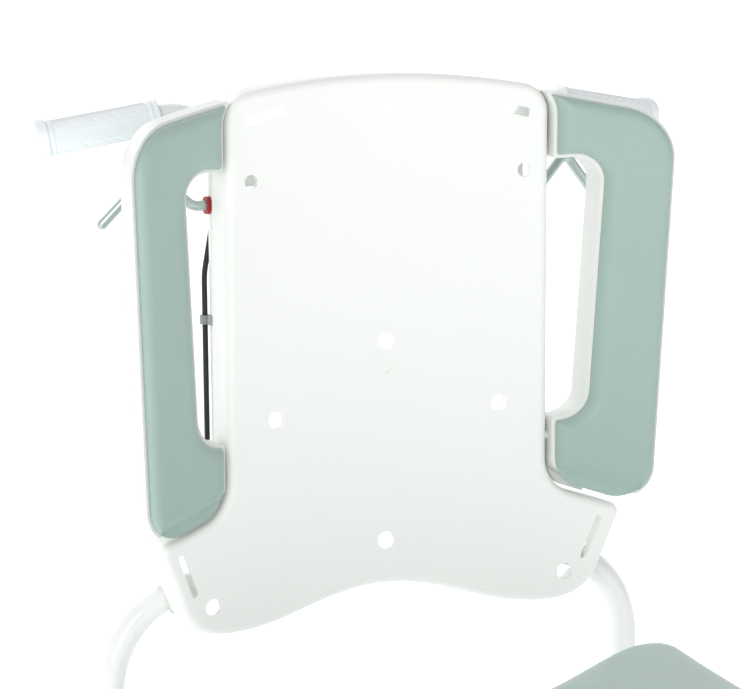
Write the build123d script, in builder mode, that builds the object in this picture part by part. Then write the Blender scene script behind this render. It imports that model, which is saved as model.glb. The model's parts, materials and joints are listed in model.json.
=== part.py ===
"""Tilting shower chair on castors: a moulded back between two flip-up armrests, a soft seat,
flip-up footplates and two gas springs that a bar under the push handles releases.

Millimetres. The sitter faces -Y, +X is to the right seen from in front, and the floor is z = 0.
"""

import os
from math import radians, sin, sqrt, tan

from build123d import *

os.makedirs("parts", exist_ok=True)

SIDES = {"left": -1, "right": 1}
FIT = 0.05  # radial clearance of a shaft in its hole
GAP = 0.4  # gap between a soft part and its neighbours
ORIGIN_SHIFT_Y = 248  # pieces are drawn with the panel's middle at y = 0, then moved to the chair's middle

# back panel, measured from its centre hole
PANEL_Z = 820
PANEL_HALF = 160
PANEL_TOP = 241
PANEL_CURVE = 1000
PANEL_BACK_Y = 22
WALL = 4
EDGE_ROUND = 7

# frame tubes
TUBE_R = 12.5
HANDLE_R = 11
BRACE_R = 11
CROSS_R = 11.5
HOOP_X = 261
HOOP_Y = 22
HOOP_Z = 608
HOOP_BEND = 90
RAIL_Z = 430
RAIL_FRONT_Y = -480
UPRIGHT_X = 146
LEVER_R = 4.75
LEVER_Z = 947

# armrests
ARM_CURVE = 550
ARM_PIVOT_Y = 0
ARM_PIVOT_Z = 722
SPIGOT_R = 5
SPIGOT_END = 184
PAD_THICK = 12
SHELL_DEPTH = 27
REAR_PAD_THICK = 10

# seat
SEAT_HALF = 250
SEAT_REAR_Y = -60
SEAT_FRONT_Y = -500
SEAT_BOTTOM_Z = 448
SEAT_DISH_R = 700
SEAT_SIDE_Z = 540

# tilt axis and base
TILT_Y = -230
TILT_Z = 385
TILT_PIN_R = 8
BASE_X = 285
BASE_Z = 190
CASTOR_FRONT_Y = -430
CASTOR_REAR_Y = 89.5

# gas springs
SPRING_X = 147
SPRING_LOW_Y = 60
SPRING_LOW_Z = 222
SPRING_TOP_Y = -70
SPRING_TOP_Z = 400
SPRING_EYE_R = 10
SPRING_PIN_R = 4
OPEN_PIVOT_PLAY = 3

# castors
WHEEL_R = 62.5
WHEEL_WIDTH = 28
CASTOR_TRAIL = 36
STEM_R = 6

# footrests
HANGER_X = 150
HANGER_R = 11
HANGER_Y = -520
FOOT_Z = 150
FOOT_BAR_R = 8
FOOT_FRONT_Y = -680


def save(part, name):
    """Move one finished piece so the origin is under the chair's middle, label it and write it."""
    placed = part.moved(Location((0, ORIGIN_SHIFT_Y, 0)))
    placed.label = name
    export_step(placed, f"parts/{name}.step")


def rounded_path(corners, closed=False):
    """Draw lines through the corners (x, y[, z], bend radius) with arcs at them; return the last line."""
    count = len(corners)
    starts = []
    ends = []
    arcs = []
    for index, corner in enumerate(corners):
        here = Vector(*corner[:-1])
        radius = corner[-1]
        is_end = not closed and index in (0, count - 1)
        if is_end or radius == 0:
            starts.append(here)
            ends.append(here)
            arcs.append(None)
            continue
        before = (Vector(*corners[index - 1][:-1]) - here).normalized()
        after = (Vector(*corners[(index + 1) % count][:-1]) - here).normalized()
        half_angle = radians(before.get_angle(after)) / 2
        reach = radius / tan(half_angle)
        middle = (before + after).normalized() * (radius / sin(half_angle) - radius)
        starts.append(here + before * reach)
        ends.append(here + after * reach)
        arcs.append(here + middle)
    last = count if closed else count - 1
    for index in range(count):
        if arcs[index] is not None:
            ThreePointArc(starts[index], arcs[index], ends[index])
        if index < last:
            line = Line(ends[index], starts[(index + 1) % count])
    return line


def tube(corners, radius):
    """Add a round bar that follows the rounded path to the part being built."""
    with BuildLine() as route:
        rounded_path(corners)
    with BuildSketch(Plane(origin=route.line @ 0, z_dir=route.line % 0)) as section:
        Circle(radius)
    sweep(sections=section.sketch, path=route.line)


def bar_x(x0, x1, y, z, radius, mode=Mode.ADD):
    """Add or cut a cylinder along X between two x positions."""
    low = min(x0, x1)
    with BuildSketch(Plane.YZ.offset(low)) as section:
        with Locations((y, z)):
            Circle(radius)
    extrude(section.sketch, amount=abs(x1 - x0), mode=mode)


def block(x, y, z, mode=Mode.ADD):
    """Add or cut a box given by its (low, high) extents along each axis."""
    centre = (sum(x) / 2, sum(y) / 2, sum(z) / 2)
    with Locations(centre):
        Box(x[1] - x[0], y[1] - y[0], z[1] - z[0], mode=mode)


def curved_slab(curve_r, front, back_y, half_width):
    """Intersect the part with the space between a forward-opening cylinder and a plane at the back."""
    depth = curve_r - sqrt(curve_r**2 - half_width**2)
    with BuildSketch(Plane.XY.offset(500)) as plan:
        with BuildLine():
            arc = ThreePointArc((-half_width, front - depth), (0, front), (half_width, front - depth))
            Polyline(arc @ 0, (-half_width, back_y), (half_width, back_y), arc @ 1)
        make_face()
    extrude(plan.sketch, amount=700, mode=Mode.INTERSECT)


def curved_layer(curve_r, front, thickness, half_width):
    """Intersect the part with a layer of even thickness behind a forward-opening cylinder."""
    depth = curve_r - sqrt(curve_r**2 - half_width**2)
    with BuildSketch(Plane.XY.offset(500)) as plan:
        with BuildLine():
            near = ThreePointArc((-half_width, front - depth), (0, front), (half_width, front - depth))
            far_y = front + thickness
            far = ThreePointArc((-half_width, far_y - depth), (0, far_y), (half_width, far_y - depth))
            Line(near @ 0, far @ 0)
            Line(near @ 1, far @ 1)
        make_face()
    extrude(plan.sketch, amount=700, mode=Mode.INTERSECT)


def half_panel_edge(inset):
    """Right half of the panel's front outline moved in by the inset, height from the centre hole."""
    side = PANEL_HALF - inset
    crown = PANEL_TOP - inset
    top = ThreePointArc((0, crown), (80, crown - 3.9), (side, crown - 15.6))
    Line(top @ 1, (side, 0))
    flare_root = (side, -144 - inset, 35 + inset)
    flare_tip = (233 - 1.5 * inset, -166.5 - inset, 9 - inset)
    outer = rounded_path([(side, 0, 0), flare_root, flare_tip, (211 - inset, -222, 0)])
    lobe = (157, -253 + inset)
    Spline(outer @ 1, lobe, tangents=(outer % 1, (-1, 0)))
    Spline(lobe, (0, -224 + inset), tangents=((-1, 0), (-1, 0)))


def panel_face(inset):
    """Panel outline moved in by the inset, with its top corners rounded."""
    with BuildSketch(Plane((0, 60, PANEL_Z), x_dir=(1, 0, 0), z_dir=(0, -1, 0))) as face:
        with BuildLine():
            half_panel_edge(inset)
            mirror(about=Plane.YZ)
        make_face()
        side = PANEL_HALF - inset
        corners = face.vertices().filter_by(lambda v: v.Y > 200 and abs(v.X) > side - 1)
        fillet(corners, radius=27 - inset)
    return face.sketch


# back panel: a curved plate with a rim all round, open at the back
with BuildPart() as panel_cavity:
    extrude(panel_face(WALL), amount=160)
    curved_slab(PANEL_CURVE, WALL, PANEL_BACK_Y + 1, 300)

with BuildPart() as back_panel:
    extrude(panel_face(0), amount=160)
    curved_slab(PANEL_CURVE, 0, PANEL_BACK_Y, 300)
    front_edges = back_panel.edges().filter_by(lambda e: e.center().Y < PANEL_BACK_Y - 1 and e.length > 25)
    rim = [e for e in front_edges if abs((e @ 0).Y - PANEL_BACK_Y) > 1 and abs((e @ 1).Y - PANEL_BACK_Y) > 1]
    fillet(rim, radius=EDGE_ROUND)
    add(panel_cavity.part, mode=Mode.SUBTRACT)
    with BuildSketch(Plane((0, 15, PANEL_Z), x_dir=(1, 0, 0), z_dir=(0, -1, 0))) as openings:
        with Locations((0, 210), (0, 0), (0, -183.5)):
            Circle(8)
        for side in (-1, 1):
            with Locations((side * 135.5, 150.6)):
                Circle(6.5)
            with Locations((side * 111.6, -63.5), (side * 177, -225.6)):
                Circle(7.5)
            with Locations(Location((side * 120.6, 207), -side * 13)):
                SlotOverall(45, 8.5)
            with Locations(Location((side * 202, -195), side * 68)):
                SlotOverall(43, 6.5)
    extrude(openings.sketch, amount=60, mode=Mode.SUBTRACT)
    with BuildSketch(Plane((0, 1.2, PANEL_Z - 24), x_dir=(1, 0, 0), z_dir=(0, -1, 0))) as dimple:
        Circle(5.5)
    extrude(dimple.sketch, amount=10, mode=Mode.SUBTRACT)
    # the rim is notched for the hoop tube and for the armrest spigots
    straight = HOOP_X - HOOP_BEND
    tube_gap = TUBE_R + 1.5
    notch_z = (HOOP_Z - tube_gap, HOOP_Z + tube_gap)
    block((-straight, straight), (HOOP_Y - tube_gap, 30), notch_z, Mode.SUBTRACT)
    for side in SIDES.values():
        with BuildSketch(Plane.XZ.offset(tube_gap - HOOP_Y)) as hoop_band:
            with Locations((side * (HOOP_X - HOOP_BEND), HOOP_Z - HOOP_BEND)):
                Circle(HOOP_BEND + tube_gap)
                Circle(HOOP_BEND - tube_gap, mode=Mode.SUBTRACT)
        extrude(hoop_band.sketch, amount=-30, mode=Mode.SUBTRACT)
        bar_x(side * 150, side * 166, ARM_PIVOT_Y, ARM_PIVOT_Z, SPIGOT_R + 1.5, Mode.SUBTRACT)
        notch_y = (ARM_PIVOT_Y, PANEL_BACK_Y + 1)
        notch_z = (ARM_PIVOT_Z - SPIGOT_R - 1.5, ARM_PIVOT_Z + SPIGOT_R + 1.5)
        block(sorted((side * 150, side * 166)), notch_y, notch_z, Mode.SUBTRACT)
save(back_panel.part, "back_panel")


def armrest_face(inset):
    """C-shaped front outline of the right armrest, moved in by the inset."""
    corners = [
        (163.5, 160, 4),
        (163.5, 213, 28),
        (151.5, 224, 2.5),
        (268, 201, 50),
        (250, -170, 32),
        (163.5, -141, 32),
        (163.5, -80, 4),
        (192, -78, 26),
        (206, 163, 22),
    ]
    with BuildSketch(Plane((0, 60, PANEL_Z), x_dir=(1, 0, 0), z_dir=(0, -1, 0))) as face:
        with BuildLine():
            rounded_path(corners, closed=True)
        make_face()
        if inset:
            offset(amount=-inset, mode=Mode.REPLACE)
    return face.sketch


# what the panel's flare keeps the armrest out of: everything in front of and below the pivot that is
# further from it than the flare's upper edge, which falls away outwards
FLARE_CLEARANCE = ((150, 26), (163.5, 28), (172, 36), (236, 66), (275, 140))
with BuildPart() as fold_limit:
    with BuildSketch(Plane((0, ARM_PIVOT_Y, ARM_PIVOT_Z), x_dir=(1, 0, 0), z_dir=(0, -1, 0))) as profile:
        Polygon((150, 0), *FLARE_CLEARANCE, (275, 0), align=None)
    revolve(axis=Axis((0, ARM_PIVOT_Y, ARM_PIVOT_Z), (1, 0, 0)))

with BuildPart() as fold_path:
    block((151, 274), (-150, ARM_PIVOT_Y), (600, ARM_PIVOT_Z))
    add(fold_limit.part, mode=Mode.SUBTRACT)

# armrest: a white C-shaped core with a soft pad on each face
with BuildPart() as armrest_shell_right:
    extrude(armrest_face(0), amount=160)
    curved_layer(ARM_CURVE, PAD_THICK, SHELL_DEPTH, 300)
    add(fold_path.part, mode=Mode.SUBTRACT)
    bar_x(160, SPIGOT_END + 2, ARM_PIVOT_Y, ARM_PIVOT_Z, SPIGOT_R + FIT, Mode.SUBTRACT)

with BuildPart() as armrest_pad_crown:
    extrude(armrest_face(8), amount=160)
    curved_layer(ARM_CURVE, 0, PAD_THICK / 2, 300)

with BuildPart() as armrest_pad_right:
    extrude(armrest_face(3), amount=160)
    curved_layer(ARM_CURVE, PAD_THICK / 2, PAD_THICK / 2 - GAP, 300)
    add(armrest_pad_crown.part)
    add(fold_path.part, mode=Mode.SUBTRACT)

with BuildPart() as armrest_rear_pad_right:
    extrude(armrest_face(6), amount=160)
    curved_layer(ARM_CURVE, PAD_THICK + SHELL_DEPTH + GAP, REAR_PAD_THICK, 300)

for piece, name in (
    (armrest_shell_right, "armrest_shell"),
    (armrest_pad_right, "armrest_pad"),
    (armrest_rear_pad_right, "armrest_rear_pad"),
):
    save(piece.part.mirror(Plane.YZ), f"{name}_left")
    save(piece.part, f"{name}_right")


def plate_x(x, corners, mode=Mode.ADD):
    """Add a flat plate between two x positions, its outline (y, z, corner radius) rounded."""
    with BuildSketch(Plane.YZ.offset(x[0])) as outline:
        with BuildLine():
            rounded_path(corners, closed=True)
        make_face()
    extrude(outline.sketch, amount=x[1] - x[0], mode=mode)


# seat frame: one bent tube makes both side rails and the hoop behind the panel
with BuildPart() as seat_frame:
    tube(
        [
            (-HOOP_X, RAIL_FRONT_Y, RAIL_Z, 0),
            (-HOOP_X, HOOP_Y, RAIL_Z, 60),
            (-HOOP_X, HOOP_Y, HOOP_Z, HOOP_BEND),
            (HOOP_X, HOOP_Y, HOOP_Z, HOOP_BEND),
            (HOOP_X, HOOP_Y, RAIL_Z, 60),
            (HOOP_X, RAIL_FRONT_Y, RAIL_Z, 0),
        ],
        TUBE_R,
    )
    for y in (SPRING_TOP_Y, -440):
        bar_x(-HOOP_X, HOOP_X, y, RAIL_Z, CROSS_R)
    for side in SIDES.values():
        lug_x = sorted((side * (HOOP_X - 3), side * (HOOP_X + 3)))
        lug = [
            (TILT_Y - 26, RAIL_Z, 0),
            (TILT_Y - 16, TILT_Z - 16, 15),
            (TILT_Y + 16, TILT_Z - 16, 15),
            (TILT_Y + 26, RAIL_Z, 0),
        ]
        plate_x(lug_x, lug)
        bar_x(lug_x[0] - 1, lug_x[1] + 1, TILT_Y, TILT_Z, TILT_PIN_R + FIT, Mode.SUBTRACT)
        for cheek in (-7.5, 7.5):
            cheek_x = (side * SPRING_X + cheek - 1.5, side * SPRING_X + cheek + 1.5)
            ear = [
                (SPRING_TOP_Y - 9, SPRING_TOP_Z - 9, 8),
                (SPRING_TOP_Y + 9, SPRING_TOP_Z - 9, 8),
                (SPRING_TOP_Y + 9, RAIL_Z, 0),
                (SPRING_TOP_Y - 9, RAIL_Z, 0),
            ]
            plate_x(cheek_x, ear)
        bar_x(side * SPRING_X - 12, side * SPRING_X + 12, SPRING_TOP_Y, SPRING_TOP_Z, SPRING_PIN_R)
save(seat_frame.part, "seat_frame")

HANDLE_CORNER = (UPRIGHT_X, 38.7, PANEL_Z + 215)
HANDLE_END = (300, 64.8, PANEL_Z + 188.8)
UPRIGHT_FOOT_Y = 27


def upright_y(z):
    """Depth of the upright's centre line at a height."""
    share = (z - HOOP_Z) / (HANDLE_CORNER[2] - HOOP_Z)
    return UPRIGHT_FOOT_Y + (HANDLE_CORNER[1] - UPRIGHT_FOOT_Y) * share


LEVER_Y = upright_y(LEVER_Z)
CROSSBAR_Z = PANEL_Z + 150.6

# handle frame: two uprights that bend outwards into the push handles
with BuildPart() as handle_frame:
    for side in SIDES.values():
        tube(
            [
                (side * UPRIGHT_X, UPRIGHT_FOOT_Y, HOOP_Z, 0),
                (side * HANDLE_CORNER[0], HANDLE_CORNER[1], HANDLE_CORNER[2], 44),
                (side * HANDLE_END[0], HANDLE_END[1], HANDLE_END[2], 0),
            ],
            HANDLE_R,
        )
        bracket_x = sorted((side * 140, side * 152))
        block(bracket_x, (ARM_PIVOT_Y - SPIGOT_R, upright_y(ARM_PIVOT_Z)), (ARM_PIVOT_Z - 9, ARM_PIVOT_Z + 9))
        bar_x(side * 140, side * SPIGOT_END, ARM_PIVOT_Y, ARM_PIVOT_Z, SPIGOT_R)
    bar_x(-UPRIGHT_X, UPRIGHT_X, upright_y(CROSSBAR_Z), CROSSBAR_Z, 9)
    bar_x(-UPRIGHT_X - 20, -UPRIGHT_X + 20, LEVER_Y, LEVER_Z, LEVER_R + FIT, Mode.SUBTRACT)
    bar_x(UPRIGHT_X - 20, UPRIGHT_X + 20, LEVER_Y, LEVER_Z, LEVER_R + FIT, Mode.SUBTRACT)
    bar_x(-200, 200, HOOP_Y, HOOP_Z, TUBE_R + FIT, Mode.SUBTRACT)
    block((-200, 200), (-20, 60), (HOOP_Z - 30, HOOP_Z), Mode.SUBTRACT)
save(handle_frame.part, "handle_frame")

# grips: a sleeve with a flange at the outer end and two rings at the inner end
handle_axis = (Vector(*HANDLE_END) - Vector(*HANDLE_CORNER)).normalized()
grip_start = Vector(*HANDLE_END) - handle_axis * 103
grip_plane = Plane(origin=grip_start, z_dir=handle_axis)
with BuildPart() as grip_right:
    for start, length, radius in ((0, 112, 15), (0, 3, 17), (6, 3, 16.5), (101, 11, 18)):
        with BuildSketch(grip_plane.offset(start)) as ring:
            Circle(radius)
        extrude(ring.sketch, amount=length)
    end_edges = grip_right.edges().filter_by(GeomType.CIRCLE).sort_by(lambda e: e.center().X)[-1:]
    fillet(end_edges, radius=3)
    with BuildSketch(grip_plane) as bore:
        Circle(HANDLE_R + FIT)
    extrude(bore.sketch, amount=104, mode=Mode.SUBTRACT)
save(grip_right.part.mirror(Plane.YZ), "grip_left")
save(grip_right.part, "grip_right")

# release lever: one bent rod that turns in holes through both uprights
LEVER_TIP = (250, LEVER_Y + 22, PANEL_Z + 112)
LEVER_PEAK = (207, LEVER_Y + 10, PANEL_Z + 159)
with BuildPart() as release_lever:
    tube(
        [
            (-LEVER_TIP[0], LEVER_TIP[1], LEVER_TIP[2], 0),
            (-LEVER_PEAK[0], LEVER_PEAK[1], LEVER_PEAK[2], 10),
            (-173, LEVER_Y, LEVER_Z, 12),
            (173, LEVER_Y, LEVER_Z, 12),
            (LEVER_PEAK[0], LEVER_PEAK[1], LEVER_PEAK[2], 10),
            (LEVER_TIP[0], LEVER_TIP[1], LEVER_TIP[2], 0),
        ],
        LEVER_R,
    )
    for side in SIDES.values():
        with Locations((side * LEVER_TIP[0], LEVER_TIP[1], LEVER_TIP[2])):
            Sphere(LEVER_R)
        # tab that pulls the cable
        arm_x = sorted((side * 127, side * 131))
        hook_x = sorted((side * 127, side * 151))
        block(arm_x, (LEVER_Y, LEVER_Y + 22), (LEVER_Z - 3.5, LEVER_Z + 3.5))
        block(hook_x, (LEVER_Y + 14, LEVER_Y + 22), (LEVER_Z - 1.5, LEVER_Z + 1.5))
        with BuildSketch(Plane.XY.offset(LEVER_Z - 5)) as wire_hole:
            with Locations((side * SPRING_X, LEVER_Y + 18)):
                Circle(2.6)
        extrude(wire_hole.sketch, amount=10, mode=Mode.SUBTRACT)
save(release_lever.part, "release_lever")

with BuildPart() as lever_bushes:
    for side in SIDES.values():
        bar_x(side * 157.1, side * 160.5, LEVER_Y, LEVER_Z, 8)
    bar_x(-165, 165, LEVER_Y, LEVER_Z, LEVER_R + FIT, Mode.SUBTRACT)
save(lever_bushes.part, "lever_bushes")

# release cables: from the lever down beside the uprights and into them, since they run on inside the frame
CABLE_R = 2.5
CABLE_TOP = (SPRING_X, LEVER_Y + 18, LEVER_Z - 20)
CABLE_OUT = 13
CABLE_BACK = 9
CABLE_ENTRY_Z = 640
for side_name, side in SIDES.items():
    beside_x = side * (UPRIGHT_X + CABLE_OUT)
    with BuildPart() as cable:
        tube(
            [
                (side * CABLE_TOP[0], CABLE_TOP[1], CABLE_TOP[2], 0),
                (beside_x, upright_y(885) + CABLE_BACK, 885, 40),
                (beside_x, upright_y(685) + CABLE_BACK, 685, 40),
                (side * UPRIGHT_X, upright_y(CABLE_ENTRY_Z) + 1, CABLE_ENTRY_Z, 0),
            ],
            CABLE_R,
        )
        slope = upright_y(700) - upright_y(600)
        low_end = Plane(origin=(side * UPRIGHT_X, upright_y(600), 600), z_dir=(0, slope, 100))
        with BuildSketch(low_end) as upright_section:
            Circle(HANDLE_R + 0.2)
        extrude(upright_section.sketch, amount=120, mode=Mode.SUBTRACT)
        with BuildSketch(Plane.XY.offset(CABLE_TOP[2] - 1)) as wire:
            with Locations((side * CABLE_TOP[0], CABLE_TOP[1])):
                Circle(1)
        extrude(wire.sketch, amount=25)
    save(cable.part, f"release_cable_{side_name}")

with BuildPart() as cable_clips:
    for side in SIDES.values():
        for z in (840, 720):
            beside = (side * (UPRIGHT_X + CABLE_OUT), upright_y(z) + CABLE_BACK)
            with BuildSketch(Plane.XY.offset(z)) as clip:
                with Locations(beside):
                    Circle(4.8)
                with Locations((side * UPRIGHT_X, upright_y(z))):
                    Circle(HANDLE_R + 2.5)
                    Circle(HANDLE_R + 0.3, mode=Mode.SUBTRACT)
                with Locations((side * (UPRIGHT_X - 3), upright_y(z) - 13)):
                    Rectangle(30, 20, mode=Mode.SUBTRACT)
                with Locations(beside):
                    Circle(CABLE_R + 0.3, mode=Mode.SUBTRACT)
            extrude(clip.sketch, amount=8)
save(cable_clips.part, "cable_clips")

# clips moulded to hold the panel on the hoop and on the upper crossbar
with BuildPart() as panel_clips:
    clip_spots = ((HOOP_Y, HOOP_Z, TUBE_R), (upright_y(CROSSBAR_Z), CROSSBAR_Z, 9))
    for y, z, radius in clip_spots:
        for x in (-80, 80):
            plate_y = PANEL_CURVE - sqrt(PANEL_CURVE**2 - (abs(x) - 10) ** 2)
            bar_x(x - 10, x + 10, y, z, radius + 3)
            block((x - 10, x + 10), (WALL - plate_y + 0.1, y), (z - radius - 3, z + radius + 3))
            bar_x(x - 11, x + 11, y, z, radius + FIT, Mode.SUBTRACT)
            block((x - 11, x + 11), (y + radius * 0.6, y + radius + 5), (z - radius, z + radius), Mode.SUBTRACT)
save(panel_clips.part, "panel_clips")


def seat_plan(inset):
    """Seat outline seen from above, with a scooped rear edge and an opening in the middle."""
    half = SEAT_HALF - inset
    rear = SEAT_REAR_Y - inset
    front = SEAT_FRONT_Y + inset
    with BuildSketch(Plane.XY.offset(SEAT_BOTTOM_Z)) as plan:
        with BuildLine():
            edge = ThreePointArc((-half + 60, rear), (0, rear - 26), (half - 60, rear))
            Line(edge @ 1, (half, rear))
            Line((half, rear), (half, front))
            ThreePointArc((half, front), (0, front - 14), (-half, front))
            Line((-half, front), (-half, rear))
            Line((-half, rear), edge @ 0)
        make_face()
        outer = plan.vertices().filter_by(lambda v: abs(v.X) > half - 1)
        fillet(outer, radius=48 - inset)
        with Locations((0, -265)):
            Ellipse(95 + inset, 130 + inset, mode=Mode.SUBTRACT)
    return plan.sketch


SEAT_PAN_TOP = SEAT_BOTTOM_Z + 10

with BuildPart() as seat_pan:
    extrude(seat_plan(8), amount=10)
save(seat_pan.part, "seat_pan")

# soft seat: dished across, its rear corners the highest part
with BuildPart() as seat:
    extrude(seat_plan(0), amount=120)
    block((-300, 300), (-600, 0), (SEAT_BOTTOM_Z - 1, SEAT_PAN_TOP + GAP), Mode.SUBTRACT)
    dish_centre = SEAT_SIDE_Z + sqrt(SEAT_DISH_R**2 - SEAT_HALF**2)
    slope_plane = Plane((0, SEAT_REAR_Y + 60, dish_centre + 2), z_dir=(0, -1, -0.045))
    with BuildSketch(slope_plane) as dish:
        Circle(SEAT_DISH_R)
    extrude(dish.sketch, amount=600, mode=Mode.SUBTRACT)
    seat_top = seat.faces().filter_by(lambda f: f.area > 60000).sort_by(Axis.Z)[-1]
    fillet(seat_top.outer_wire().edges(), radius=9)
save(seat.part, "seat")

with BuildPart() as seat_clips:
    for y in (SPRING_TOP_Y, -440):
        for x in (-200, 200):
            with BuildSketch(Plane.YZ.offset(x - 10)) as clip:
                with Locations((y, RAIL_Z)):
                    Circle(CROSS_R + 4.5)
                with Locations((y, RAIL_Z - 10)):
                    Rectangle(2 * CROSS_R + 10, 14, mode=Mode.SUBTRACT)
                with Locations((y, RAIL_Z)):
                    Circle(CROSS_R + FIT, mode=Mode.SUBTRACT)
            extrude(clip.sketch, amount=20)
save(seat_clips.part, "seat_clips")

with BuildPart() as tube_plugs:
    for side in SIDES.values():
        with BuildSketch(Plane.XZ.offset(-RAIL_FRONT_Y + FIT)) as plug:
            with Locations((side * HOOP_X, RAIL_Z)):
                Circle(TUBE_R + 0.8)
        extrude(plug.sketch, amount=5)
    fillet(tube_plugs.edges().filter_by(GeomType.CIRCLE).group_by(Axis.Y)[0], radius=2.5)
save(tube_plugs.part, "tube_plugs")

# footrest hangers: a clamp on the front cross tube, a bent tube and a bar that carries the footplate
for side_name, side in SIDES.items():
    with BuildPart() as hanger:
        tube(
            [
                (side * HANGER_X, -452, RAIL_Z, 0),
                (side * HANGER_X, HANGER_Y, RAIL_Z, 50),
                (side * HANGER_X, HANGER_Y, FOOT_Z, 22),
                (side * HANGER_X, HANGER_Y - 24, FOOT_Z, 0),
            ],
            HANGER_R,
        )
        with BuildSketch(Plane.XZ.offset(-HANGER_Y + 20)) as foot_bar:
            with Locations((side * HANGER_X, FOOT_Z)):
                Circle(FOOT_BAR_R)
        extrude(foot_bar.sketch, amount=-FOOT_FRONT_Y + HANGER_Y - 20)
        with BuildSketch(Plane.XZ.offset(-FOOT_FRONT_Y)) as bar_end:
            with Locations((side * HANGER_X, FOOT_Z)):
                Circle(FOOT_BAR_R + 4)
        extrude(bar_end.sketch, amount=4)
        bar_x(side * HANGER_X - 16, side * HANGER_X + 16, -440, RAIL_Z, CROSS_R + 5)
        bar_x(side * HANGER_X - 17, side * HANGER_X + 17, -440, RAIL_Z, CROSS_R + FIT, Mode.SUBTRACT)
    save(hanger.part, f"hanger_{side_name}")

# footplates: a ribbed tread with a knuckle round the hanger's bar
FOOT_REAR_Y = HANGER_Y - 28
for side_name, side in SIDES.items():
    with BuildPart() as footplate:
        with BuildSketch(Plane.XY.offset(FOOT_Z - 3.5)) as tread:
            with Locations((side * (HANGER_X + 16) / 2, (FOOT_REAR_Y + FOOT_FRONT_Y) / 2)):
                RectangleRounded(HANGER_X - 16, FOOT_REAR_Y - FOOT_FRONT_Y - 6, 14)
            with Locations((side * (HANGER_X - 12), (FOOT_REAR_Y + FOOT_FRONT_Y) / 2)):
                Rectangle(24, FOOT_REAR_Y - FOOT_FRONT_Y - 6)
        extrude(tread.sketch, amount=7)
        with BuildSketch(Plane.XY.offset(FOOT_Z + 3.5)) as ribs:
            with Locations((side * 78, (FOOT_REAR_Y + FOOT_FRONT_Y) / 2)):
                with GridLocations(16, 10, 6, 1):
                    SlotOverall(90, 3, rotation=90)
        extrude(ribs.sketch, amount=1)
        with BuildSketch(Plane.XZ.offset(-FOOT_REAR_Y + 3)) as knuckle:
            with Locations((side * HANGER_X, FOOT_Z)):
                Circle(FOOT_BAR_R + 4)
        extrude(knuckle.sketch, amount=FOOT_REAR_Y - FOOT_FRONT_Y - 6)
        with BuildSketch(Plane.XZ.offset(-FOOT_REAR_Y)) as bore:
            with Locations((side * HANGER_X, FOOT_Z)):
                Circle(FOOT_BAR_R + FIT)
        extrude(bore.sketch, amount=FOOT_REAR_Y - FOOT_FRONT_Y, mode=Mode.SUBTRACT)
    save(footplate.part, f"footplate_{side_name}")

# base frame: two side frames with a tilt pin at the top of each and a castor socket at each corner
CASTOR_SPOTS = {
    "front_left": (-BASE_X, CASTOR_FRONT_Y),
    "front_right": (BASE_X, CASTOR_FRONT_Y),
    "rear_left": (-BASE_X, CASTOR_REAR_Y),
    "rear_right": (BASE_X, CASTOR_REAR_Y),
}
SOCKET_BOTTOM_Z = 160
with BuildPart() as base_frame:
    for side in SIDES.values():
        x = side * BASE_X
        tube([(x, CASTOR_FRONT_Y + 10, BASE_Z, 0), (x, CASTOR_REAR_Y - 10, BASE_Z, 0)], TUBE_R)
        tube([(x, -360, BASE_Z, 0), (x, TILT_Y, TILT_Z, 0)], BRACE_R)
        tube([(x, -70, BASE_Z, 0), (x, TILT_Y, TILT_Z, 0)], BRACE_R)
        bar_x(side * (HOOP_X + 4.5), side * (BASE_X + 15), TILT_Y, TILT_Z, 17)
        bar_x(side * (HOOP_X - 10), side * (HOOP_X + 5), TILT_Y, TILT_Z, TILT_PIN_R)
        bar_x(side * (HOOP_X - 10), side * (HOOP_X - 3.5), TILT_Y, TILT_Z, 12)
    for y in (-330, SPRING_LOW_Y):
        bar_x(-BASE_X, BASE_X, y, BASE_Z, BRACE_R)
    for side in SIDES.values():
        for cheek in (-7.5, 7.5):
            cheek_x = (side * SPRING_X + cheek - 1.5, side * SPRING_X + cheek + 1.5)
            ear = [
                (SPRING_LOW_Y - 10, BASE_Z, 0),
                (SPRING_LOW_Y + 10, BASE_Z, 0),
                (SPRING_LOW_Y + 10, SPRING_LOW_Z + 10, 9),
                (SPRING_LOW_Y - 10, SPRING_LOW_Z + 10, 9),
            ]
            plate_x(cheek_x, ear)
        bar_x(side * SPRING_X - 12, side * SPRING_X + 12, SPRING_LOW_Y, SPRING_LOW_Z, SPRING_PIN_R)
    for x, y in CASTOR_SPOTS.values():
        with BuildSketch(Plane.XY.offset(SOCKET_BOTTOM_Z)) as socket:
            with Locations((x, y)):
                Circle(17)
        extrude(socket.sketch, amount=58)
        with BuildSketch(Plane.XY.offset(SOCKET_BOTTOM_Z - 1)) as stem_bore:
            with Locations((x, y)):
                Circle(STEM_R + FIT)
        extrude(stem_bore.sketch, amount=52, mode=Mode.SUBTRACT)
save(base_frame.part, "base_frame")

# gas springs: the cylinder turns on the base, the rod slides in it and holds the seat frame
spring_low = Vector(0, SPRING_LOW_Y, SPRING_LOW_Z)
spring_top = Vector(0, SPRING_TOP_Y, SPRING_TOP_Z)
spring_axis = (spring_top - spring_low).normalized()
spring_length = (spring_top - spring_low).length
CYLINDER_R = 11
CYLINDER_TOP = 130
ROD_R = 4


def along_spring(side, start, length, radius, mode=Mode.ADD):
    """Add or cut a cylinder on the spring's axis, measured from its lower pivot."""
    origin = spring_low + spring_axis * start + Vector(side * SPRING_X, 0, 0)
    with BuildSketch(Plane(origin=origin, x_dir=(1, 0, 0), z_dir=spring_axis)) as section:
        Circle(radius)
    extrude(section.sketch, amount=length, mode=mode)


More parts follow.
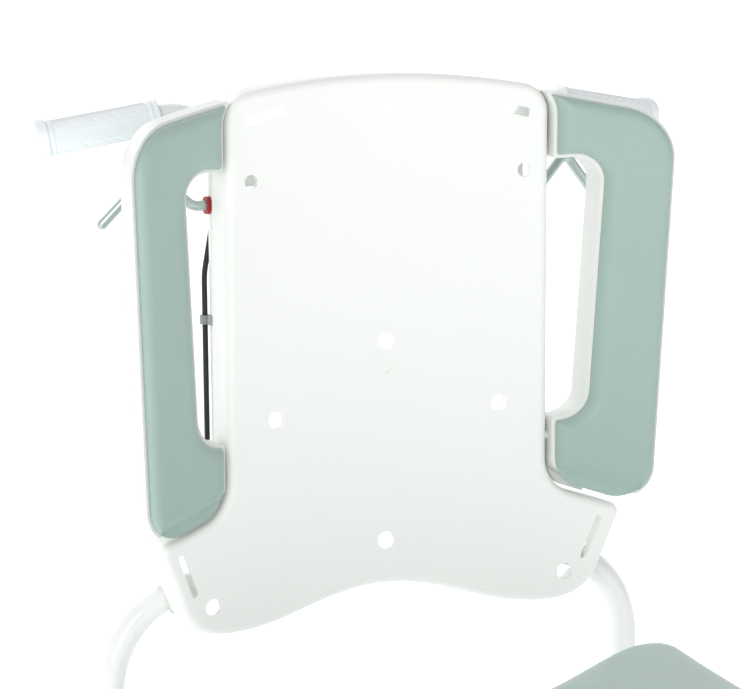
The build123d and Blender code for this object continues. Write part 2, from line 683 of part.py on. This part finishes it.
for side_name, side in SIDES.items():
    eye_x = (side * SPRING_X - 5, side * SPRING_X + 5)
    with BuildPart() as gas_cylinder:
        along_spring(side, 0, 16, 4.5)
        along_spring(side, 16, CYLINDER_TOP - 16, CYLINDER_R)
        bar_x(eye_x[0], eye_x[1], SPRING_LOW_Y, SPRING_LOW_Z, SPRING_EYE_R)
        bar_x(eye_x[0] - 1, eye_x[1] + 1, SPRING_LOW_Y, SPRING_LOW_Z, SPRING_PIN_R + FIT, Mode.SUBTRACT)
        along_spring(side, 26, CYLINDER_TOP, ROD_R + FIT, Mode.SUBTRACT)
    save(gas_cylinder.part, f"gas_cylinder_{side_name}")

    with BuildPart() as gas_rod:
        along_spring(side, 74, spring_length - 74, ROD_R)
        along_spring(side, spring_length - 24, 22, 4.8)
        bar_x(eye_x[0], eye_x[1], SPRING_TOP_Y, SPRING_TOP_Z, SPRING_EYE_R + 1)
        open_r = SPRING_PIN_R + OPEN_PIVOT_PLAY
        bar_x(eye_x[0] - 1, eye_x[1] + 1, SPRING_TOP_Y, SPRING_TOP_Z, open_r, Mode.SUBTRACT)
    save(gas_rod.part, f"gas_rod_{side_name}")

# castors: a fork with its stem, an axle bolt, a hub and a tyre at each corner
CROWN_Z = (134, 148)
for corner, (x, y) in CASTOR_SPOTS.items():
    wheel_y = y + CASTOR_TRAIL
    is_rear = corner.startswith("rear")
    with BuildPart() as fork:
        for inner in (-21, 17):
            leg = [
                (y - 18, CROWN_Z[1], 5),
                (wheel_y - 13, WHEEL_R - 12, 12),
                (wheel_y + 13, WHEEL_R - 12, 12),
                (y + 26, CROWN_Z[1], 5),
            ]
            plate_x((x + inner, x + inner + 4), leg)
        with BuildSketch(Plane.XY.offset(CROWN_Z[0])) as crown:
            with Locations((x, y + 4)):
                RectangleRounded(42, 44, 9)
        extrude(crown.sketch, amount=CROWN_Z[1] - CROWN_Z[0])
        for start, end, radius in ((CROWN_Z[1], 157, 15), (157, 205, STEM_R)):
            with BuildSketch(Plane.XY.offset(start)) as stem:
                with Locations((x, y)):
                    Circle(radius)
            extrude(stem.sketch, amount=end - start)
        bar_x(x - 22, x + 22, wheel_y, WHEEL_R, 5 + FIT, Mode.SUBTRACT)
        if is_rear:
            for inner in (-17, 13):
                plate_x(
                    (x + inner, x + inner + 4),
                    [(y + 20, 134, 0), (y + 44, 134, 4), (y + 44, 148, 4), (y + 20, 148, 0)],
                )
            bar_x(x - 17, x + 17, y + 37, 141, 3)
    save(fork.part, f"castor_fork_{corner}")

    with BuildPart() as axle:
        bar_x(x - 24, x + 24, wheel_y, WHEEL_R, 5)
        bar_x(x - 25, x - 21.1, wheel_y, WHEEL_R, 8)
        bar_x(x + 21.1, x + 25, wheel_y, WHEEL_R, 8)
    save(axle.part, f"castor_axle_{corner}")

    with BuildPart() as hub:
        bar_x(x - 12, x + 12, wheel_y, WHEEL_R, 44)
        bar_x(x + 4, x + 12, wheel_y, WHEEL_R, 39, Mode.SUBTRACT)
        bar_x(x - 12, x - 4, wheel_y, WHEEL_R, 39, Mode.SUBTRACT)
        bar_x(x - 16, x + 16, wheel_y, WHEEL_R, 12)
        bar_x(x - 17, x + 17, wheel_y, WHEEL_R, 5 + FIT, Mode.SUBTRACT)
    save(hub.part, f"castor_hub_{corner}")

    with BuildPart() as tyre:
        half = WHEEL_WIDTH / 2
        bar_x(x - half, x + half, wheel_y, WHEEL_R, WHEEL_R)
        fillet(tyre.edges().filter_by(GeomType.CIRCLE), radius=7)
        bar_x(x - half, x + half, wheel_y, WHEEL_R, 44 + FIT, Mode.SUBTRACT)
    save(tyre.part, f"castor_tyre_{corner}")

    if is_rear:
        with BuildPart() as pedal:
            bar_x(x - 12.5, x + 12.5, y + 37, 141, 6)
            with BuildSketch(Plane.XY.offset(141)) as tread:
                with Locations((x, y + 62)):
                    RectangleRounded(25, 50, 8)
            extrude(tread.sketch, amount=5)
            block((x - 12.5, x + 12.5), (y + 37, y + 50), (138, 146))
            bar_x(x - 13, x + 13, y + 37, 141, 3 + FIT, Mode.SUBTRACT)
        save(pedal.part, f"brake_pedal_{corner}")
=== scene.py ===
"""Looks of the wheeled shower chair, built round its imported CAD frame. Metres, +Z up, sitter faces -Y."""

import json
import math

import bmesh
import bpy
import numpy as np
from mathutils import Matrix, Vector
from mathutils.geometry import delaunay_2d_cdt


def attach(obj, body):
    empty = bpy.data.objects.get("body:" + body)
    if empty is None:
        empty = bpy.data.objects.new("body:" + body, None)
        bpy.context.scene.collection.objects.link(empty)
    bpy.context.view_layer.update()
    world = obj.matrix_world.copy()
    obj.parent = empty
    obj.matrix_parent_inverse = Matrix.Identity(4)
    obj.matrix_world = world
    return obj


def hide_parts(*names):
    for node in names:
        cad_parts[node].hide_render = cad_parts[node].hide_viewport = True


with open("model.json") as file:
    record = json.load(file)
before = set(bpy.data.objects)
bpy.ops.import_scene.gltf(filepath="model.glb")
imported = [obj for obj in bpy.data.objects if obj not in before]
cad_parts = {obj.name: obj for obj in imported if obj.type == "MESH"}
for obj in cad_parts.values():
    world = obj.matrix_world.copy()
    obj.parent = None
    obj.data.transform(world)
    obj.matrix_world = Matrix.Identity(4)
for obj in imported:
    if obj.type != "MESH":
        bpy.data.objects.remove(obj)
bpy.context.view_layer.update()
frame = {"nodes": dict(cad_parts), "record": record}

# sizes are in millimetres, as in the drawing of the part; MM turns them into metres
MM = 0.001
SHIFT_Y = 248  # the drawing's y = 0 is the middle of the panel's front
PANEL_Z = 820  # height of the panel's centre hole

# armrests: front face on a cylinder, soft front pad, white shell, soft rear pad
ARM_CURVE = 550
ARM_PIVOT_Z = 722
FRONT_PAD_SPACE = 12
FRONT_PAD_THICK = 11.6
SHELL_DEPTH = 27
REAR_PAD_GAP = 0.4
REAR_PAD_SPACE = 10
SKIN = 0.5  # thinnest place of a pad

# seat
SEAT_HALF = 249.5
SEAT_REAR_Y = -60.5
SEAT_FRONT_Y = -499.5
SEAT_BASE_Z = 458.6
SEAT_HOLE = (95, 130)
SEAT_HOLE_Y = -265


# ---------------------------------------------------------------- materials


def node_material(name):
    """A new node material and its shader."""
    material = bpy.data.materials.new(name)
    material.use_nodes = True
    shader = material.node_tree.nodes["Principled BSDF"]
    return material, shader


def add_noise(tree, scale, detail=3.0, roughness=0.5):
    """A noise texture in object space."""
    coords = tree.nodes.new("ShaderNodeTexCoord")
    noise = tree.nodes.new("ShaderNodeTexNoise")
    noise.inputs["Scale"].default_value = scale
    noise.inputs["Detail"].default_value = detail
    noise.inputs["Roughness"].default_value = roughness
    tree.links.new(coords.outputs["Object"], noise.inputs["Vector"])
    return noise


def ranged(tree, source, low, high):
    """The source value, 0 to 1, mapped to a range."""
    mapped = tree.nodes.new("ShaderNodeMapRange")
    mapped.inputs["To Min"].default_value = low
    mapped.inputs["To Max"].default_value = high
    tree.links.new(source, mapped.inputs["Value"])
    return mapped.outputs["Result"]


def surface(name, color, roughness, tint=0.03, grain=900.0, bump=0.02, wear=0.05, metallic=0.0):
    """A coloured surface with slow colour variation, uneven roughness and a fine grain bump."""
    material, shader = node_material(name)
    tree = material.node_tree
    slow = add_noise(tree, 9.0)
    mix = tree.nodes.new("ShaderNodeMix")
    mix.data_type = "RGBA"
    mix.inputs["A"].default_value = (*color, 1.0)
    mix.inputs["B"].default_value = (*[c * (1.0 - tint) for c in color], 1.0)
    tree.links.new(slow.outputs["Fac"], mix.inputs["Factor"])
    tree.links.new(mix.outputs["Result"], shader.inputs["Base Color"])
    patches = add_noise(tree, 42.0, 4.0)
    rough = ranged(tree, patches.outputs["Fac"], roughness - wear, roughness + wear)
    tree.links.new(rough, shader.inputs["Roughness"])
    fine = add_noise(tree, grain, 2.0)
    bump_node = tree.nodes.new("ShaderNodeBump")
    bump_node.inputs["Strength"].default_value = bump
    bump_node.inputs["Distance"].default_value = 0.0006
    tree.links.new(fine.outputs["Fac"], bump_node.inputs["Height"])
    tree.links.new(bump_node.outputs["Normal"], shader.inputs["Normal"])
    shader.inputs["Metallic"].default_value = metallic
    return material, shader


MOULDED = {"tint": 0.015, "grain": 700, "bump": 0.05}
FOAM_SKIN = {"tint": 0.05, "grain": 1500, "bump": 0.16}

# slot: material name, colour, roughness, then what differs from surface()'s own values
FINISHES = {
    "panel_white": ("panel moulding", (0.865, 0.88, 0.855), 0.42, MOULDED),
    "shell_white": ("shell moulding", (0.76, 0.78, 0.75), 0.38, MOULDED),
    "pad_green": ("armrest foam skin", (0.35, 0.47, 0.43), 0.44, FOAM_SKIN),
    "seat_green": ("seat foam skin", (0.455, 0.57, 0.53), 0.45, FOAM_SKIN),
    "frame_white": ("white powder coat", (0.83, 0.85, 0.83), 0.24, {"tint": 0.01, "grain": 420, "bump": 0.12}),
    "grip_white": ("grip rubber", (0.86, 0.90, 0.92), 0.50, {"tint": 0.02, "grain": 1300, "bump": 0.12}),
    "lever_steel": (
        "lever steel",
        (0.50, 0.58, 0.55),
        0.32,
        {"tint": 0.08, "grain": 800, "bump": 0.08, "wear": 0.08, "metallic": 0.65},
    ),
    "bush_red": ("red bush", (0.38, 0.004, 0.01), 0.45, {"tint": 0.06}),
    "cable_black": ("cable sheath", (0.015, 0.016, 0.02), 0.45, {"tint": 0.1, "grain": 1800, "bump": 0.2}),
    "clip_grey": ("grey nylon", (0.33, 0.36, 0.36), 0.5, {"tint": 0.06, "grain": 900, "bump": 0.15}),
    "foot_grey": ("footplate nylon", (0.45, 0.52, 0.49), 0.52, {"tint": 0.06, "grain": 900, "bump": 0.25}),
    "cylinder_black": ("black lacquer", (0.012, 0.012, 0.014), 0.25, {"tint": 0.1}),
    "rod_chrome": (
        "polished rod",
        (0.78, 0.79, 0.8),
        0.1,
        {"tint": 0.02, "grain": 300, "bump": 0.02, "wear": 0.03, "metallic": 1.0},
    ),
    "fork_grey": ("fork nylon", (0.46, 0.49, 0.49), 0.46, {"tint": 0.05, "grain": 900, "bump": 0.15}),
    "hub_white": ("hub moulding", (0.80, 0.82, 0.81), 0.4, {"tint": 0.03, "grain": 700, "bump": 0.08}),
    "tyre_grey": (
        "tyre rubber",
        (0.16, 0.17, 0.175),
        0.62,
        {"tint": 0.12, "grain": 600, "bump": 0.35, "wear": 0.08},
    ),
    "axle_steel": (
        "zinc plate",
        (0.55, 0.55, 0.56),
        0.34,
        {"tint": 0.08, "grain": 500, "bump": 0.1, "wear": 0.08, "metallic": 0.9},
    ),
}

# slot: extra shader values, the same all over the surface
EXTRAS = {
    "pad_green": {"Sheen Weight": 0.12, "Sheen Roughness": 0.5},
    "seat_green": {"Sheen Weight": 0.12, "Sheen Roughness": 0.5},
    "frame_white": {"Coat Weight": 0.4, "Coat Roughness": 0.12},
    "cylinder_black": {"Coat Weight": 0.5},
}


def make_materials():
    """Every material of the chair by its slot name."""
    made = {}
    for slot, (name, color, roughness, options) in FINISHES.items():
        material, shader = surface(name, color, roughness, **options)
        for socket, value in EXTRAS.get(slot, {}).items():
            shader.inputs[socket].default_value = value
        made[slot] = material
    return made


MATERIALS = make_materials()
SLOT_OF = {entry["node"]: entry["material_slot"] for entry in frame["record"]["subparts"]}


def dress(obj, slot):
    """Give a piece the material of one slot."""
    obj.data.materials.clear()
    obj.data.materials.append(MATERIALS[slot])


def soften_edges(obj, width):
    """Round a CAD node's sharp edges a little, in metres, so that they catch the light."""
    weld = obj.modifiers.new("weld", "WELD")
    weld.merge_threshold = 0.00002
    bevel = obj.modifiers.new("edge", "BEVEL")
    bevel.width = width
    bevel.segments = 3
    bevel.limit_method = "ANGLE"
    bevel.angle_limit = math.radians(40)
    bevel.use_clamp_overlap = True
    bevel.harden_normals = True


SHARP_NODES = {
    "armrest_shell": 1.2,
    "castor_fork": 0.6,
    "footplate": 0.6,
    "seat_pan": 0.6,
    "base_frame": 0.6,
    "seat_clips": 0.6,
}
for node, piece in frame["nodes"].items():
    dress(piece, SLOT_OF[node])
    for start, edge_width in SHARP_NODES.items():
        if node.startswith(start):
            soften_edges(piece, edge_width * MM)


# ---------------------------------------------------------------- soft pads


def rounded_outline(corners, step=2.5):
    """Closed outline through the corners (a, b, radius), each corner an arc, as evenly spaced points."""
    points = []
    count = len(corners)
    for index, (a, b, radius) in enumerate(corners):
        here = Vector((a, b))
        before = (Vector(corners[index - 1][:2]) - here).normalized()
        after = (Vector(corners[(index + 1) % count][:2]) - here).normalized()
        half = before.angle(after) / 2
        reach = radius / math.tan(half)
        centre = here + (before + after).normalized() * (radius / math.sin(half))
        start = here + before * reach - centre
        end = here + after * reach - centre
        turn = math.atan2(start.cross(end), start.dot(end))
        steps = max(2, int(abs(turn) * radius / step) + 1)
        for k in range(steps + 1):
            angle = turn * k / steps
            c, s = math.cos(angle), math.sin(angle)
            points.append(centre + Vector((start.x * c - start.y * s, start.x * s + start.y * c)))
    filled = []
    for index, point in enumerate(points):
        following = points[(index + 1) % len(points)]
        parts = max(1, round((following - point).length / step))
        filled += [point.lerp(following, k / parts) for k in range(parts)]
    return np.array([(p.x, p.y) for p in filled])


def edge_distance(points, outlines):
    """Distance from each point to the nearest of the closed outlines."""
    nearest = np.full(len(points), 1e9)
    for outline in outlines:
        ends = np.roll(outline, -1, axis=0)
        along = ends - outline
        length2 = (along**2).sum(1)
        for begin in range(0, len(points), 2000):
            chunk = points[begin : begin + 2000]
            offset = chunk[:, None, :] - outline[None, :, :]
            t = np.clip((offset * along).sum(2) / length2, 0, 1)
            gap = np.linalg.norm(offset - t[..., None] * along, axis=2).min(1)
            nearest[begin : begin + 2000] = np.minimum(nearest[begin : begin + 2000], gap)
    return nearest


def inside(points, outline):
    """Which points lie inside a closed outline."""
    x, y = points[:, 0], points[:, 1]
    result = np.zeros(len(points), bool)
    a = outline
    b = np.roll(outline, -1, axis=0)
    for (ax, ay), (bx, by) in zip(a, b):
        if ay == by:
            continue
        crosses = (ay > y) != (by > y)
        at = (bx - ax) * (y - ay) / (by - ay) + ax
        result ^= crosses & (x < at)
    return result


def inward_ring(outline, depth, outlines):
    """The outline moved inwards by a depth, without the points that come too near another edge."""
    tangent = np.roll(outline, -1, axis=0) - np.roll(outline, 1, axis=0)
    tangent /= np.linalg.norm(tangent, axis=1)[:, None]
    normal = np.stack([-tangent[:, 1], tangent[:, 0]], 1)
    goes_inside = inside(outline + normal * 0.5, outline).mean() > 0.5
    is_outer = outline is outlines[0]
    if goes_inside != is_outer:
        normal = -normal
    ring = outline + normal * depth
    return ring[edge_distance(ring, outlines) > depth * 0.985]


def smooth_object(name, mesh_name, mesh):
    """A smooth-shaded object from a bmesh, which is freed."""
    bmesh.ops.recalc_face_normals(mesh, faces=mesh.faces)
    data = bpy.data.meshes.new(mesh_name)
    mesh.to_mesh(data)
    mesh.free()
    data.polygons.foreach_set("use_smooth", [True] * len(data.polygons))
    obj = bpy.data.objects.new(name, data)
    bpy.context.scene.collection.objects.link(obj)
    return obj


def cushion_plan(outlines, depths, spacing):
    """Points and faces that fill an outline with holes, with rings of points along its edges."""
    rings = [inward_ring(outline, depth, outlines) for outline in outlines for depth in depths]
    low, high = outlines[0].min(0), outlines[0].max(0)
    grid_a, grid_b = np.meshgrid(
        np.arange(low[0], high[0], spacing), np.arange(low[1], high[1], spacing * 0.9)
    )
    grid_a[1::2] += spacing / 2
    grid = np.stack([grid_a.ravel(), grid_b.ravel()], 1)
    keep = inside(grid, outlines[0])
    for hole in outlines[1:]:
        keep &= ~inside(grid, hole)
    grid = grid[keep]
    grid = grid[edge_distance(grid, outlines) > depths[-1] + spacing * 0.55]
    flat = np.concatenate([*outlines, *rings, grid])
    edges = []
    start = 0
    for outline in outlines:
        count = len(outline)
        edges += [(start + k, start + (k + 1) % count) for k in range(count)]
        start += count
    result = delaunay_2d_cdt([Vector(p) for p in flat], edges, [], 0, 1e-5)
    points = np.array([tuple(p) for p in result[0]])
    faces = [tuple(f) for f in result[2]]
    centres = np.array([points[list(f)].mean(0) for f in faces])
    wanted = inside(centres, outlines[0])
    for hole in outlines[1:]:
        wanted &= ~inside(centres, hole)
    return points, [f for f, w in zip(faces, wanted) if w]


def cushion(name, outlines, place, top, base, depths, spacing):
    """Closed cushion over an outline with holes. top(a, b, edge distance) and base(a, b) are heights."""
    points, faces = cushion_plan(outlines, depths, spacing)
    gap = edge_distance(points, outlines)
    upper = [place(a, b, top(a, b, d)) for (a, b), d in zip(points, gap)]
    lower = [place(a, b, base(a, b)) for a, b in points]
    mesh = bmesh.new()
    up = [mesh.verts.new(Vector(p) * MM) for p in upper]
    down = [mesh.verts.new(Vector(p) * MM) for p in lower]
    for f in faces:
        mesh.faces.new([up[i] for i in f])
        mesh.faces.new([down[i] for i in reversed(f)])
    lower_of = dict(zip(up, down))
    rim = [e for e in mesh.edges if len(e.link_faces) == 1 and e.verts[0] in lower_of]
    for edge in rim:
        first, second = edge.verts
        mesh.faces.new((first, second, lower_of[second], lower_of[first]))
    bmesh.ops.remove_doubles(mesh, verts=mesh.verts, dist=1e-6)
    loose = [v for v in mesh.verts if not v.link_faces]
    bmesh.ops.delete(mesh, geom=loose, context="VERTS")
    return smooth_object(name, name, mesh)


def rounding(distance, width, drop):
    """How far a rounded edge has fallen at a distance from the rim."""
    if distance >= width:
        return 0.0
    across = 1.0 - distance / width
    return drop * (1.0 - math.sqrt(max(0.0, 1.0 - across * across)))


ARMREST_CORNERS = [
    (163.5, 160, 4),
    (163.5, 213, 28),
    (151.5, 224, 2.5),
    (268, 201, 50),
    (250, -170, 32),
    (163.5, -141, 32),
    (163.5, -80, 4),
    (192, -78, 26),
    (206, 163, 22),
]

# how far from its pivot an armrest may reach, at a distance from the middle, to fold past the panel's flare
FLARE_X = (150, 163.5, 172, 236, 275)
FLARE_REACH = (26, 28, 36, 66, 140)


def pad_outline(inset):
    """Outline of the right armrest's pad: the shell's outline moved in."""
    outline = rounded_outline(ARMREST_CORNERS)
    return inward_ring(outline, inset, [outline])


def arm_surface(x):
    """Depth of the armrest's curved front at a distance from the middle."""
    return math.sqrt(ARM_CURVE**2 - x * x) - ARM_CURVE


def fold_limit(a, b):
    """Foremost depth at which a point of the armrest still passes over the panel's flare."""
    below = ARM_PIVOT_Z - PANEL_Z - b
    if below <= 0:
        return -1000.0
    reach = float(np.interp(a, FLARE_X, FLARE_REACH)) - 0.3
    return -math.sqrt(max(0.0, reach * reach - below * below))


# distances from a pad's edge at which its mesh has a ring of points
BEVEL_DEPTHS = [0.35, 0.9, 1.7, 2.8, 4.2, 5.8, 7.6, 9.6, 12.0]


def pad_crown(d):
    """How far a pad's face has risen above its rounded edge at a distance from the rim."""
    return 0.7 * (1.0 - math.exp(-((d / 16.0) ** 2)))


def armrest_place(side):
    """Turns a point of the armrest's front view and its depth into the model's coordinates."""
    return lambda a, b, y: (side * a, y + SHIFT_Y, b + PANEL_Z)


def front_pad(side):
    """Soft front pad of one armrest: a 10 mm rounded edge and a slightly crowned face."""

    def top(a, b, d):
        face = arm_surface(a) + rounding(d, 10.5, 9.5) + 0.6 - pad_crown(d)
        return min(max(face, fold_limit(a, b)), base(a, b) - SKIN)

    def base(a, b):
        return arm_surface(a) + FRONT_PAD_THICK

    outline = pad_outline(3.2)
    return cushion(f"front_pad_{side}", [outline], armrest_place(side), top, base, BEVEL_DEPTHS, 5.0)


def rear_pad(side):
    """Arm pad on the other face of the armrest."""
    shell_back = FRONT_PAD_SPACE + SHELL_DEPTH

    def top(a, b, d):
        return arm_surface(a) + shell_back + REAR_PAD_SPACE - rounding(d, 9.0, 8.5) - 0.6 + pad_crown(d)

    def base(a, b):
        return arm_surface(a) + shell_back + REAR_PAD_GAP

    outline = pad_outline(6)
    return cushion(f"rear_pad_{side}", [outline], armrest_place(side), top, base, BEVEL_DEPTHS, 5.5)


def add_armrest_pads():
    """Both soft pads of both armrests."""
    for side, word in ((-1, "left"), (1, "right")):
        front = front_pad(side)
        rear = rear_pad(side)
        for pad, node in ((front, f"armrest_pad_{word}"), (rear, f"armrest_rear_pad_{word}")):
            dress(pad, "pad_green")
            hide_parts(node)
            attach(pad, f"armrest_{word}")


def seat_top(x, y):
    """Height of the dished seat: raised at the rear corners, low in the middle and at the front."""
    back = -60 - y
    side_height = 549 - 0.16 * back + 0.000234 * back * back
    middle_height = 490 - 0.018 * back
    return middle_height + (side_height - middle_height) * (x / 250) ** 2


def seat_outline():
    """Outer edge of the seat, scooped out behind and bowed out at the front."""
    corner_radius = 48
    corners = [
        (SEAT_HALF, SEAT_REAR_Y, corner_radius),
        (SEAT_HALF, SEAT_FRONT_Y, corner_radius),
        (-SEAT_HALF, SEAT_FRONT_Y, corner_radius),
        (-SEAT_HALF, SEAT_REAR_Y, corner_radius),
    ]
    outline = rounded_outline(corners, 6.0)
    middle = np.clip(1.0 - (outline[:, 0] / 190.0) ** 2, 0, None) ** 1.5
    behind = outline[:, 1] > -110
    outline[behind, 1] -= 26 * middle[behind]
    ahead = outline[:, 1] < -450
    outline[ahead, 1] -= 12 * middle[ahead]
    return outline


def add_seat():
    """The soft seat: a rounded slab with an opening, dished across and raised at its rear corners."""
    around = np.linspace(0, 2 * math.pi, 121)[:-1]
    hole = np.stack([SEAT_HOLE[0] * np.cos(around), SEAT_HOLE_Y + SEAT_HOLE[1] * np.sin(around)], 1)

    def place(a, b, z):
        return (a, b + SHIFT_Y, z)

    def top(a, b, d):
        return seat_top(a, b) - rounding(d, 20, 17)

    def base(a, b):
        return SEAT_BASE_Z

    depths = [0.5, 1.3, 2.6, 4.4, 6.8, 9.8, 13.4, 17.4, 21.5]
    seat = cushion("soft_seat", [seat_outline(), hole], place, top, base, depths, 10.0)
    dress(seat, "seat_green")
    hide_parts("seat")
    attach(seat, "seat_unit")


# ---------------------------------------------------------------- grips

GRIP_LENGTH = 112.0
GRIP_PAST_HANDLE = 9.0
GRIP_BORE_R = 11.1
GRIP_STEP = 0.45
GRIP_AROUND = 240
INNER_RINGS = ((3.2, 16.6), (5.6, 15.2), (8.8, 16.3), (10.4, 15.0))  # each ring's end and radius
OUTER_RINGS = ((101.5, 18.0), (99.5, 15.2), (96.0, 16.2))  # each ring's start and radius
HANDLE_CORNER = np.array([146.0, 38.7, 1035.0])
HANDLE_END = np.array([300.0, 64.8, 1008.8])


def grip_radius(s, turn):
    """Radius of a grip at a distance from its inner end and a turn from 0 to 1 round it."""
    for end, radius in INNER_RINGS:
        if s < end:
            return radius
    for start, radius in OUTER_RINGS:
        if s > start:
            return radius
    radius = 15.6
    quarter = (turn * 4.0) % 1.0
    strip = abs(quarter - 0.5) * 2.0
    if strip < 0.42:
        slant = (s - quarter * 26.0) / 9.4
        phase = abs(slant - round(slant))
        groove = max(0.0, 1.0 - phase / 0.11)
        rim = max(0.0, 1.0 - abs(strip - 0.38) / 0.05)
        return radius - 0.75 * max(groove, 0.7 * rim)
    slant = 1 if quarter > 0.5 else -1
    knurl = math.sin((s / 1.9 + slant * turn * 44.0) * 2 * math.pi)
    return radius - 0.3 + 0.3 * knurl


def add_grip(side, word):
    """One moulded grip with end flange, rings, knurled bands and slanted grooves."""
    axis = HANDLE_END - HANDLE_CORNER
    axis /= np.linalg.norm(axis)
    start = HANDLE_END - axis * (GRIP_LENGTH - GRIP_PAST_HANDLE)
    across = np.cross(axis, [0, 0, 1])
    across /= np.linalg.norm(across)
    up = np.cross(across, axis)
    stations = [k * GRIP_STEP for k in range(int(GRIP_LENGTH / GRIP_STEP))] + [GRIP_LENGTH]
    mesh = bmesh.new()
    loops = []

    def loop(s, radius_of):
        ring = []
        for k in range(GRIP_AROUND):
            turn = k / GRIP_AROUND
            angle = turn * 2 * math.pi
            radius = radius_of(turn)
            p = start + axis * s + (across * math.cos(angle) + up * math.sin(angle)) * radius
            ring.append(mesh.verts.new(Vector((side * p[0], p[1] + SHIFT_Y, p[2])) * MM))
        loops.append(ring)

    loop(0, lambda turn: GRIP_BORE_R)
    for s in stations:
        end_round = rounding(GRIP_LENGTH - s, 2.5, 2.5) + rounding(s, 1.0, 0.8)
        loop(s, lambda turn: grip_radius(s, turn) - end_round)
    for radius in (14.0, 13.2, 6.0):
        dip = 0.0 if radius == 14.0 else -0.7
        loop(GRIP_LENGTH + dip, lambda turn: radius)
    for first, second in zip(loops, loops[1:]):
        for k in range(GRIP_AROUND):
            n = (k + 1) % GRIP_AROUND
            mesh.faces.new((first[k], first[n], second[n], second[k]))
    mesh.faces.new(loops[-1])
    mesh.faces.new(loops[0])
    grip = smooth_object(f"soft_grip_{word}", f"grip_mesh_{word}", mesh)
    dress(grip, "grip_white")
    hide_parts(f"grip_{word}")
    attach(grip, "seat_unit")


# ---------------------------------------------------------------- studio


def add_backdrop(name, location, tilt, glow):
    """A plain pale plane that glows a little, so that it stays white behind the white mouldings."""
    bpy.ops.mesh.primitive_plane_add(size=60, location=location, rotation=(tilt, 0, 0))
    plane = bpy.context.object
    plane.name = name
    material, shader = node_material(name)
    shader.inputs["Base Color"].default_value = (0.9, 0.9, 0.9, 1)
    shader.inputs["Roughness"].default_value = 0.8
    shader.inputs["Emission Color"].default_value = (1, 1, 1, 1)
    shader.inputs["Emission Strength"].default_value = glow
    plane.data.materials.append(material)


def add_light(name, location, target, size, power):
    """A soft area light aimed at a point."""
    data = bpy.data.lights.new(name, "AREA")
    data.size = size
    data.energy = power
    lamp = bpy.data.objects.new(name, data)
    lamp.location = location
    lamp.rotation_euler = (Vector(target) - Vector(location)).to_track_quat("-Z", "Y").to_euler()
    bpy.context.scene.collection.objects.link(lamp)


def add_studio():
    """Bright even surroundings with a soft key from the left."""
    world = bpy.data.worlds.new("studio")
    bpy.context.scene.world = world
    world.use_nodes = True
    bpy.context.scene.view_settings.view_transform = "Standard"
    background = world.node_tree.nodes["Background"]
    background.inputs["Color"].default_value = (1, 1, 1, 1)
    background.inputs["Strength"].default_value = 0.52
    target = (0, 0.2, 0.8)
    add_light("key", (-2.2, -2.4, 1.9), target, 1.6, 42)
    add_light("fill", (0.6, -2.8, 0.9), target, 2.0, 6)
    add_light("rim", (-0.6, 2.4, 2.2), target, 1.6, 10)


def add_camera():
    """Camera on the -X side and a little above, with a long lens about three metres away."""
    azimuth = math.radians(-25.5)
    elevation = math.radians(8.4)
    distance = 2.982
    image_width = 750
    aim = Vector((0, SHIFT_Y * MM, PANEL_Z * MM))
    back = Vector(
        (
            math.sin(azimuth) * math.cos(elevation),
            -math.cos(azimuth) * math.cos(elevation),
            math.sin(elevation),
        )
    )
    data = bpy.data.cameras.new("camera")
    data.lens = 158.4
    data.sensor_width = 36.0
    data.shift_x = -11.1 / image_width
    data.shift_y = -3.5 / image_width
    data.clip_end = 100
    camera = bpy.data.objects.new("camera", data)
    camera.location = aim + back * distance
    camera.rotation_euler = back.to_track_quat("Z", "Y").to_euler()
    bpy.context.scene.collection.objects.link(camera)
    bpy.context.scene.camera = camera


add_armrest_pads()
add_seat()
for side, word in ((-1, "left"), (1, "right")):
    add_grip(side, word)
add_backdrop("floor", (0, 0, -0.0005), 0.0, 0.5)
add_backdrop("wall", (0, 9, 0), math.radians(90), 0.6)
add_studio()
add_camera()
